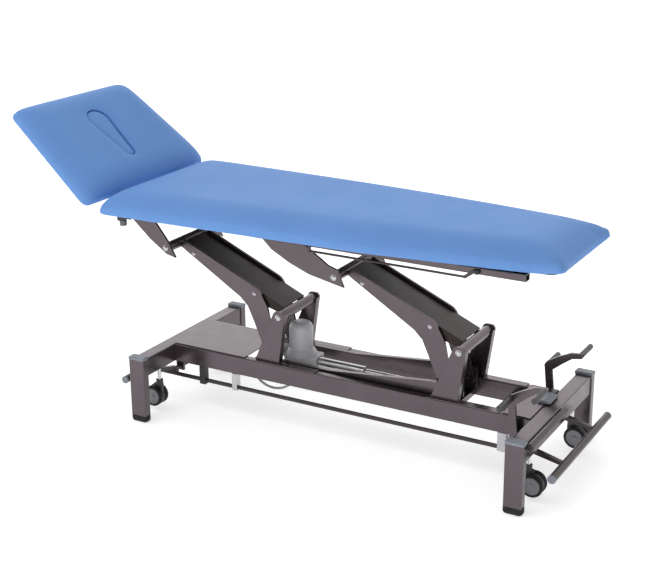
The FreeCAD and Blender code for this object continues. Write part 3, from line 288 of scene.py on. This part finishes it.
NODE_LOOKS = {
    PAINT: (
        "side_rails", "cross_beams", "corner_legs", "tower_plates", "cover_plates",
        "anchor_bracket", "arm_head_levers", "arm_foot_levers", "arm_head_tubes",
        "arm_foot_tubes", "tie_bars", "top_frame_tubes", "hanging_brackets",
        "bar_hangers", "head_hinge_stands", "head_hinge_arms", "pedal_levers",
    ),
    # painted shade: the channels get the darkened copy of the frame paint
    CHANNEL_PAINTED_SHADE: ("arm_head_channel", "arm_foot_channel"),
    DARK_PAINT: ("end_bumper", "link_rods", "foot_bar_foot", "foot_bar_head", "release_rod"),
    BLUE_GREY_PLASTIC: ("leg_caps", "foot_bar_caps_head", "foot_bar_caps_foot", "shaft_bracket"),
    BOOT: ("levelling_feet",),
    STEEL: ("castor_carrier_head", "castor_carrier_foot"),
    ROD_STEEL: ("actuator_rod", "actuator_tube", "rod_stems"),
    LIGHT_PLASTIC: ("actuator_housing", "rod_blocks"),
    BLACK_PLASTIC: ("control_box", "cable_glands", "release_clips", "rod_clamps"),
    PEG_PLASTIC: ("pedal_pegs",),
    CASTOR_PLASTIC: tuple(name for name in frame["nodes"] if name.startswith("castor_housing")),
    PLY: ("main_board", "head_board"),
    GRIP_PLASTIC: ("release_grip",),
}


def paint_nodes():
    """Give each shown CAD node its material."""
    for look, names in NODE_LOOKS.items():
        for name in names:
            piece = frame["nodes"][name]
            if not piece.material_slots:
                piece.data.materials.append(look)
            for material_slot in piece.material_slots:
                material_slot.material = look


paint_nodes()


# ---------------------------------------------------------------- mesh helpers

def new_piece(name, mesh, look, body):
    """A piece on a body, with its material."""
    mesh.materials.clear()
    mesh.materials.append(look)
    piece = bpy.data.objects.new(name, mesh)
    bpy.context.scene.collection.objects.link(piece)
    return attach(piece, body)


def solids(node):
    """The box of each separate solid of a CAD node, in metres."""
    shape = bmesh.new()
    shape.from_mesh(frame["nodes"][node].data)
    bmesh.ops.remove_doubles(shape, verts=shape.verts, dist=1e-6)
    boxes, seen = [], set()
    for start in shape.verts:
        if start in seen:
            continue
        seen.add(start)
        group, queue = [], [start]
        while queue:
            point = queue.pop()
            group.append(point.co.copy())
            for edge in point.link_edges:
                other = edge.other_vert(point)
                if other not in seen:
                    seen.add(other)
                    queue.append(other)
        boxes.append((Vector(map(min, *group)), Vector(map(max, *group))))
    shape.free()
    return boxes


def lathe(shape, profile, place, steps=48):
    """Add a closed surface of revolution; profile holds (radius, height) from end to end."""
    rings = []
    for radius, height in profile:
        if radius < 1e-7:
            rings.append([shape.verts.new(place @ Vector((0, 0, height)))])
            continue
        ring = []
        for step in range(steps):
            turn = math.tau * step / steps
            spot = Vector((radius * math.cos(turn), radius * math.sin(turn), height))
            ring.append(shape.verts.new(place @ spot))
        rings.append(ring)
    for lower, upper in zip(rings, rings[1:]):
        for step in range(steps):
            following = (step + 1) % steps
            corners = [
                lower[step % len(lower)], lower[following % len(lower)],
                upper[following % len(upper)], upper[step % len(upper)],
            ]
            unique = list(dict.fromkeys(corners))
            if len(unique) > 2:
                shape.faces.new(unique)


def to_mesh(shape, name, smooth_angle=None):
    """Turn a working shape into a mesh with outward normals."""
    bmesh.ops.recalc_face_normals(shape, faces=shape.faces)
    mesh = bpy.data.meshes.new(name)
    for face in shape.faces:
        face.smooth = True
    shape.to_mesh(mesh)
    shape.free()
    if smooth_angle:
        mesh.set_sharp_from_angle(angle=math.radians(smooth_angle))
    return mesh


def across(centre, side):
    """Stand an axis across the couch at a point, pointing to one side."""
    turn = Matrix.Rotation(-side * math.pi / 2, 4, "X")
    return Matrix.Translation(centre) @ turn


# ---------------------------------------------------------------- cord

CABLE_DIAMETER = 8.4 * MM
CABLE_ROUTE = [
    (-0.24010, -0.062, 0.184),
    (-0.20410, -0.064, 0.178),
    (-0.17210, -0.073, 0.152),
    (-0.13610, -0.080, 0.126),
    (-0.09410, -0.082, 0.116),
    (-0.05210, -0.080, 0.124),
    (-0.02010, -0.077, 0.148),
    (0.00790, -0.073, 0.165),
    (0.04390, -0.072, 0.168),
]


def make_cable():
    """The motor cable: one smooth loop that hangs below the near rail."""
    curve = bpy.data.curves.new("motor_cord", "CURVE")
    curve.dimensions = "3D"
    curve.bevel_depth = CABLE_DIAMETER / 2
    curve.bevel_resolution = 8
    curve.use_fill_caps = True
    curve.resolution_u = 24
    spline = curve.splines.new("NURBS")
    spline.points.add(len(CABLE_ROUTE) - 1)
    for point, spot in zip(spline.points, CABLE_ROUTE):
        point.co = (*spot, 1)
    spline.order_u = 3
    spline.use_endpoint_u = True
    curve.materials.append(SHEATH)
    piece = bpy.data.objects.new("motor_cord", curve)
    bpy.context.scene.collection.objects.link(piece)
    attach(piece, "base")
    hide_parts("motor_cable")
    sleeves = [
        strain_relief("cord_sleeve_box", CABLE_ROUTE[0], CABLE_ROUTE[1]),
        strain_relief("cord_sleeve_rail", CABLE_ROUTE[-1], CABLE_ROUTE[-2]),
    ]


def strain_relief(name, start, toward):
    """A tapered, ribbed sleeve round the cable where it leaves a gland."""
    start, toward = Vector(start), Vector(toward)
    heading = (toward - start).normalized()
    place = Matrix.Translation(start) @ heading.to_track_quat("Z", "Y").to_matrix().to_4x4()
    profile = [(0, -1 * MM), (7.4 * MM, -1 * MM), (7.4 * MM, 1 * MM)]
    ribs, long = 5, 22 * MM
    for rib in range(ribs):
        radius = (7.0 - 0.42 * rib) * MM
        low = 1 * MM + long * rib / ribs
        profile += [
            (radius, low + 0.6 * MM), (radius, low + 2.8 * MM),
            (radius - 0.9 * MM, low + 3.2 * MM), (radius - 0.9 * MM, low + 4.0 * MM),
        ]
    profile += [(CABLE_DIAMETER / 2 + 0.3 * MM, long + 1 * MM), (0, long + 1 * MM)]
    shape = bmesh.new()
    lathe(shape, profile, place, 32)
    return new_piece(name, to_mesh(shape, name, 40), BLACK_PLASTIC, "base")


make_cable()


# ---------------------------------------------------------------- upholstery

def evaluated_mesh(piece):
    """A copy of a piece's mesh with its modifiers applied."""
    graph = bpy.context.evaluated_depsgraph_get()
    return bpy.data.meshes.new_from_object(piece.evaluated_get(graph))


def points_of(mesh):
    """A mesh's points as an array."""
    points = np.empty(len(mesh.vertices) * 3)
    mesh.vertices.foreach_get("co", points)
    return points.reshape(-1, 3)


def set_points(mesh, points):
    """Write an array of points back into a mesh."""
    mesh.vertices.foreach_set("co", points.ravel())
    mesh.update()


SOFTENING_TURNS, SETTLING_TURNS = 4, 8
COVER_PRESSURE, COVER_STIFFNESS, COVER_QUALITY = 4, 12, 4
INFLATION_FRAMES = 20


def inflated(name, node, to_own, shrink, voxel, cap, pinned_low):
    """A CAD slab remeshed and blown up like foam in a cover, in its own level frame.

    to_own turns the row frame into that frame, shrink is taken off each side first,
    and no point moves further than cap. Points lower than pinned_low above the
    underside are held, because they lie on the board.
    """
    mesh = frame["nodes"][node].data.copy()
    mesh.transform(to_own)
    points = points_of(mesh)
    low, high = points.min(0), points.max(0)
    middle = (low + high) / 2
    points = middle + (points - middle) * (1 - 2 * np.array(shrink) / (high - low))
    set_points(mesh, points)
    piece = bpy.data.objects.new(name, mesh)
    bpy.context.scene.collection.objects.link(piece)
    remesh = piece.modifiers.new("remesh", "REMESH")
    remesh.mode = "VOXEL"
    remesh.voxel_size = voxel
    smooth = piece.modifiers.new("smooth", "SMOOTH")
    smooth.iterations = SOFTENING_TURNS
    piece.data = evaluated_mesh(piece)
    piece.modifiers.clear()
    rest = points_of(piece.data)
    floor = rest[:, 2].min()
    held = piece.vertex_groups.new(name="held")
    held.add([int(i) for i in np.where(rest[:, 2] < floor + pinned_low)[0]], 1.0, "REPLACE")
    cloth = piece.modifiers.new("cloth", "CLOTH")
    cloth.settings.quality = COVER_QUALITY
    cloth.settings.use_pressure = True
    cloth.settings.uniform_pressure_force = COVER_PRESSURE
    cloth.settings.tension_stiffness = COVER_STIFFNESS
    cloth.settings.compression_stiffness = COVER_STIFFNESS
    cloth.settings.vertex_group_mass = "held"
    cloth.settings.effector_weights.gravity = 0
    scene = bpy.context.scene
    for number in range(1, INFLATION_FRAMES + 1):
        scene.frame_set(number)
    moved = points_of(evaluated_mesh(piece))
    scene.frame_set(1)
    piece.modifiers.clear()
    piece.vertex_groups.clear()
    shift = moved - rest
    far = np.linalg.norm(shift, axis=1)
    limit = cap * np.tanh(far / cap) / np.maximum(far, 1e-9)
    set_points(piece.data, rest + shift * limit[:, None])
    return piece


def finish_cushion(piece, node, body, to_row):
    """Subdivide once, turn back into the row frame and stand for the CAD solid."""
    subdivision = piece.modifiers.new("subdivision", "SUBSURF")
    subdivision.levels = subdivision.render_levels = 1
    mesh = evaluated_mesh(piece)
    piece.modifiers.clear()
    mesh.transform(to_row)
    for polygon in mesh.polygons:
        polygon.use_smooth = True
    mesh.materials.clear()
    mesh.materials.append(VINYL)
    piece.data = mesh
    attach(piece, body)
    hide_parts(node)


# How closely two sides' rolls meet at a corner, and the roll's roundness at its crown and its seam.
ROLL_MEETING, CROWN_ROUNDNESS, SEAM_ROUNDNESS = 6.0, 2.5, 1.55
# The roll takes hold over this share of its reach and this height above the seam.
HOLD_SHARE, HOLD_HEIGHT = 0.06, 4 * MM


def roll_over(mesh, corners, reaches, seam, top):
    """Bring the upper face to a pillow that rolls down to a plan outline.

    corners run round the outline, reaches holds how far each following side's
    roll reaches inward, seam is the height of the widest outline, top the crown's.
    """
    points = points_of(mesh)
    closeness = 0.0
    for number, reach in enumerate(reaches):
        distance, _ = side_distance(points, corners, number)
        closeness = closeness + np.exp(-ROLL_MEETING * distance / reach)
    inside = np.clip(-np.log(closeness) / ROLL_MEETING, 0, 1)
    rise = (1 - (1 - inside) ** CROWN_ROUNDNESS) ** (1 / SEAM_ROUNDNESS)
    crown = seam + (top - seam) * rise
    hold = np.clip((points[:, 2] - seam) / HOLD_HEIGHT, 0, 1)
    share = np.clip(inside / HOLD_SHARE, 0, 1) * hold
    points[:, 2] += (crown - points[:, 2]) * share
    set_points(mesh, points)


def side_distance(points, corners, number):
    """(how far points lie inside one side of a plan outline, the side's inward direction)."""
    start = np.array(corners[number])
    along = np.array(corners[(number + 1) % len(corners)]) - start
    inward = np.array((-along[1], along[0])) / np.linalg.norm(along)
    return (points[:, :2] - start) @ inward, inward


def round_corners(mesh, corners, softness):
    """Pull in whatever stands outside the softly rounded corners of a plan outline."""
    points = points_of(mesh)
    sides = [side_distance(points, corners, number) for number in range(len(corners))]
    weights = np.array([np.exp(-distance / softness) for distance, _ in sides])
    inside = -softness * np.log(weights.sum(0))
    heading = sum(weight[:, None] * inward for weight, (_, inward) in zip(weights, sides))
    heading /= np.linalg.norm(heading, axis=1)[:, None]
    points[:, :2] += heading * np.maximum(-inside, 0)[:, None]
    set_points(mesh, points)


def draw_out(mesh, corner, shift, reach):
    """Draw the cushion out at one corner and its mirror image."""
    points = points_of(mesh)
    for side in (-1, 1):
        spot = np.array((corner[0], side * corner[1]))
        near = np.exp(-(np.linalg.norm(points[:, :2] - spot, axis=1) / reach) ** 2)
        points += near[:, None] * np.array((shift[0], side * shift[1], shift[2]))
    set_points(mesh, points)


def settle(piece):
    """Even out a cushion's skin."""
    smooth = piece.modifiers.new("settle", "SMOOTH")
    smooth.iterations = SETTLING_TURNS
    piece.data = evaluated_mesh(piece)
    piece.modifiers.clear()


def make_main_cushion():
    """The long flat section, crowned a little and rolled over along its edges."""
    piece = inflated(
        "main_upholstery", "main_cushion", Matrix.Identity(4),
        shrink=(1 * MM, 1 * MM, 1 * MM), voxel=6 * MM, cap=3 * MM, pinned_low=12 * MM,
    )
    head, waist, foot = (x * MM + BASE_X for x in (-800, 150, 755))
    wide, middle, slim = 0.319, 0.292, 0.208
    outline = [
        (head, -wide), (waist, -middle), (foot, -slim),
        (foot, slim), (waist, middle), (head, wide),
    ]
    reaches = [0.120, 0.125, 0.150, 0.125, 0.120, 0.110]
    roll_over(piece.data, outline, reaches, 0.716, 0.782)
    settle(piece)
    draw_out(piece.data, (foot - 12 * MM, slim - 12 * MM), (11 * MM, 7 * MM, 10 * MM), 50 * MM)
    finish_cushion(piece, "main_cushion", "top", Matrix.Identity(4))


HEAD_PIVOT = Vector(JOINTS["head_tilt"]["pos_m"])
HEAD_TILT = math.radians(38)
HEAD_TO_ROW = Matrix.Translation(HEAD_PIVOT) @ Matrix.Rotation(HEAD_TILT, 4, "Y")
HEAD_TO_OWN = HEAD_TO_ROW.inverted()


# The plug's outline in the head section's own frame: x, y and radius at its wide and slim ends.
PLUG_WIDE = (-0.288, -0.012, 0.049)
PLUG_SLIM = (-0.138, -0.012, 0.024)


def plug_distance(points, wide, slim):
    """How far points lie outside the teardrop drawn round two circles, each (x, y, radius)."""
    start, end = np.array(wide[:2]), np.array(slim[:2])
    along = end - start
    share = np.clip(((points[:, :2] - start) @ along) / (along @ along), 0, 1)
    nearest = start + share[:, None] * along
    radius = wide[2] + share * (slim[2] - wide[2])
    return np.linalg.norm(points[:, :2] - nearest, axis=1) - radius


def dent(mesh, deep, reach):
    """Draw the upper face down toward the seam round the plug, on either side of it."""
    points = points_of(mesh)
    top = np.clip(points[:, 2] / points[:, 2].max(), 0, 1)
    near = np.exp(-np.abs(plug_distance(points, PLUG_WIDE, PLUG_SLIM)) / reach)
    points[:, 2] -= deep * near * top
    set_points(mesh, points)


def make_head_cushion():
    """The head section with the opening for the face plug."""
    piece = inflated(
        "head_upholstery", "head_cushion", HEAD_TO_OWN,
        shrink=(1 * MM, 1 * MM, 1 * MM), voxel=5 * MM, cap=3 * MM, pinned_low=12 * MM,
    )
    far, near, slim, wide = -0.443, -0.010, 0.292, 0.338
    outline = [(near, wide), (far, slim), (far, -slim), (near, -wide)]
    roll_over(piece.data, outline, [0.105, 0.100, 0.105, 0.120], -0.014, 0.040)
    settle(piece)
    round_corners(piece.data, outline, 18 * MM)
    dent(piece.data, 6 * MM, 17 * MM)
    finish_cushion(piece, "head_cushion", "head_section", HEAD_TO_ROW)


def make_face_plug():
    """The teardrop plug with its own crowned top."""
    piece = inflated(
        "face_plug_upholstery", "face_plug", HEAD_TO_OWN,
        shrink=(0.5 * MM, 0.5 * MM, 0), voxel=3 * MM, cap=1.5 * MM, pinned_low=4 * MM,
    )
    dent(piece.data, 4 * MM, 10 * MM)
    finish_cushion(piece, "face_plug", "face_plug", HEAD_TO_ROW)


make_main_cushion()
make_head_cushion()
make_face_plug()


# ---------------------------------------------------------------- wheels and bolts

WHEEL_WIDTH = 16 * MM
AXLE_RADIUS, AXLE_HALF = 3.9 * MM, 7 * MM


def wheel_profile(radius, width):
    """(tyre profile, hub profile) of one castor wheel, from its inner face outwards."""
    crown = 3.5 * MM
    tyre = [
        (radius - 9 * MM, 0), (radius - crown, 0), (radius - 1.0 * MM, 1.0 * MM),
        (radius, crown), (radius, width - crown), (radius - 1.0 * MM, width - 1.0 * MM),
        (radius - crown, width), (radius - 7 * MM, width), (radius - 8 * MM, width - 1.2 * MM),
        (radius - 9 * MM, width - 1.2 * MM), (radius - 9 * MM, 0),
    ]
    disc = radius - 8.6 * MM
    hub = [
        (0, 0.2 * MM), (disc, 0.2 * MM), (disc, width - 1.6 * MM),
        (disc - 1 * MM, width - 0.8 * MM), (disc - 4 * MM, width - 0.8 * MM),
        (disc - 5.5 * MM, width - 2.4 * MM), (9 * MM, width - 2.8 * MM),
        (8 * MM, width - 1.4 * MM), (6 * MM, width - 0.6 * MM), (0, width - 0.4 * MM),
    ]
    return tyre, hub


def make_castor_wheels():
    """Two detailed wheels on each castor, in place of the CAD wheel sets."""
    for node in [name for name in frame["nodes"] if name.startswith("castor_wheels")]:
        low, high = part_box(node)
        middle = (low + high) / 2
        radius = (high.z - low.z) / 2
        half = (high.y - low.y) / 2
        width = WHEEL_WIDTH
        tyre_profile, hub_profile = wheel_profile(radius, width)
        tyres, hubs = bmesh.new(), bmesh.new()
        for side in (-1, 1):
            place = across(middle + Vector((0, side * (half - width), 0)), side)
            lathe(tyres, tyre_profile, place, 64)
            lathe(hubs, hub_profile, place, 48)
        axle = [
            (0, -AXLE_HALF), (AXLE_RADIUS, -AXLE_HALF), (AXLE_RADIUS, AXLE_HALF), (0, AXLE_HALF),
        ]
        lathe(hubs, axle, across(middle, 1), 24)
        tag = node.replace("castor_wheels_", "")
        hub_mesh = to_mesh(hubs, f"castor_hubs_{tag}", 35)
        tyre_mesh = to_mesh(tyres, f"castor_tyres_{tag}", 50)
        hub = new_piece(f"castor_hubs_{tag}", hub_mesh, HUB_PLASTIC, node)
        new_piece(f"castor_tyres_{tag}", tyre_mesh, TYRE, node)
        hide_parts(node)


def bolt_head(shape, place, radius, height):
    """A domed head with a hexagon socket, on a washer, standing along the axis of place."""
    washer = radius * 1.22
    lathe(shape, [
        (0, 0), (washer, 0), (washer, 0.8 * MM), (washer - 0.4 * MM, 1.2 * MM), (radius, 1.2 * MM),
        (radius, 1.6 * MM), (radius * 0.97, height * 0.55), (radius * 0.82, height * 0.85),
        (radius * 0.60, height), (radius * 0.50, height), (radius * 0.46, height * 0.9),
    ], place, 36)
    socket = [(radius * 0.47, height * 0.92), (radius * 0.42, height * 0.5), (0, height * 0.5)]
    lathe(shape, socket, place, 6)


def make_bolts():
    """Detailed bolt heads in place of the plain CAD ones."""
    looks = (
        ("lower_pivot_bolts", "base", 8.2 * MM, 6 * MM),
        ("upper_pivot_bolts", "top", 8.2 * MM, 6 * MM),
        ("arm_head_bolts", "arm_head", 5.7 * MM, 5 * MM),
        ("arm_foot_bolts", "arm_foot", 5.7 * MM, 5 * MM),
    )
    for node, body, radius, height in looks:
        shape = bmesh.new()
        for low, high in solids(node):
            side = 1 if low.y + high.y > 0 else -1
            face = (high.y if side > 0 else low.y) - side * height
            spot = Vector(((low.x + high.x) / 2, face, (low.z + high.z) / 2))
            bolt_head(shape, across(spot, side), radius, height)
        piece = new_piece(node + "_detailed", to_mesh(shape, node, 35), STEEL, body)
        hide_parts(node)


make_castor_wheels()
make_bolts()


# ---------------------------------------------------------------- floor and lights

FLOOR_GLOW = 0.52


def make_floor():
    """A plain pale floor that runs far past the view and glows a little, like a backlit sweep."""
    mesh = bpy.data.meshes.new("floor")
    reach = 30
    corners = [(-reach, -reach, 0), (reach, -reach, 0), (reach, reach, 0), (-reach, reach, 0)]
    mesh.from_pydata(corners, [], [(0, 1, 2, 3)])
    floor = bpy.data.objects.new("floor", mesh)
    bpy.context.scene.collection.objects.link(floor)
    shader = Shader("floor", 0.9, specular=0.1)
    shader.surface.inputs["Base Color"].default_value = (0.92, 0.92, 0.92, 1)
    shader.surface.inputs["Emission Color"].default_value = (1, 1, 1, 1)
    shader.surface.inputs["Emission Strength"].default_value = FLOOR_GLOW
    mesh.materials.append(shader.material)


def area_light(name, spot, aim, size, power):
    """A soft square light that looks at a point."""
    data = bpy.data.lights.new(name, "AREA")
    data.shape = "SQUARE"
    data.size = size
    data.energy = power
    lamp = bpy.data.objects.new(name, data)
    bpy.context.scene.collection.objects.link(lamp)
    lamp.location = spot
    lamp.rotation_euler = (Vector(aim) - Vector(spot)).to_track_quat("-Z", "Y").to_euler()


# How bright the surround is in front, behind, to the foot end and overhead.
FRONT_LIGHT, BACK_LIGHT, FOOT_LIGHT, SKY_LIGHT = 0.72, 1.85, 0.25, 0.50
KEY_SPOT, KEY_POWER = (-1.5, -2.0, 4.5), 54
FILL_SPOT, FILL_POWER = (1.5, -4.5, 1.2), 19


def make_lights():
    """A pale surround, brighter behind, a large key light from the head end and a soft fill."""
    world = bpy.data.worlds.new("surround")
    world.use_nodes = True
    tree = world.node_tree
    background = tree.nodes["Background"]
    background.inputs["Strength"].default_value = 1.0
    heading = tree.nodes.new("ShaderNodeSeparateXYZ")
    coords = tree.nodes.new("ShaderNodeTexCoord")
    tree.links.new(coords.outputs["Generated"], heading.inputs["Vector"])
    ramps = []
    fades = (
        ("Y", -0.7, 0.5, FRONT_LIGHT, BACK_LIGHT),
        ("X", 0.1, 0.9, 1.0, FOOT_LIGHT),
        ("Z", 0.1, 0.9, 1.0, SKY_LIGHT),
    )
    for axis, start, end, low, high in fades:
        ramp = tree.nodes.new("ShaderNodeMapRange")
        ramp.interpolation_type = "SMOOTHSTEP"
        ramp.inputs["From Min"].default_value = start
        ramp.inputs["From Max"].default_value = end
        ramp.inputs["To Min"].default_value = low
        ramp.inputs["To Max"].default_value = high
        tree.links.new(heading.outputs[axis], ramp.inputs["Value"])
        ramps.append(ramp.outputs["Result"])
    product = ramps[0]
    for factor in ramps[1:]:
        step = tree.nodes.new("ShaderNodeMath")
        step.operation = "MULTIPLY"
        tree.links.new(product, step.inputs[0])
        tree.links.new(factor, step.inputs[1])
        product = step.outputs["Value"]
    tree.links.new(product, background.inputs["Color"])
    bpy.context.scene.world = world
    bpy.context.scene.view_settings.view_transform = "Standard"
    area_light("key", KEY_SPOT, (0, 0, 0.4), 3.0, KEY_POWER)
    area_light("fill", FILL_SPOT, (0, 0, 0.5), 2.0, FILL_POWER)


make_floor()
make_lights()
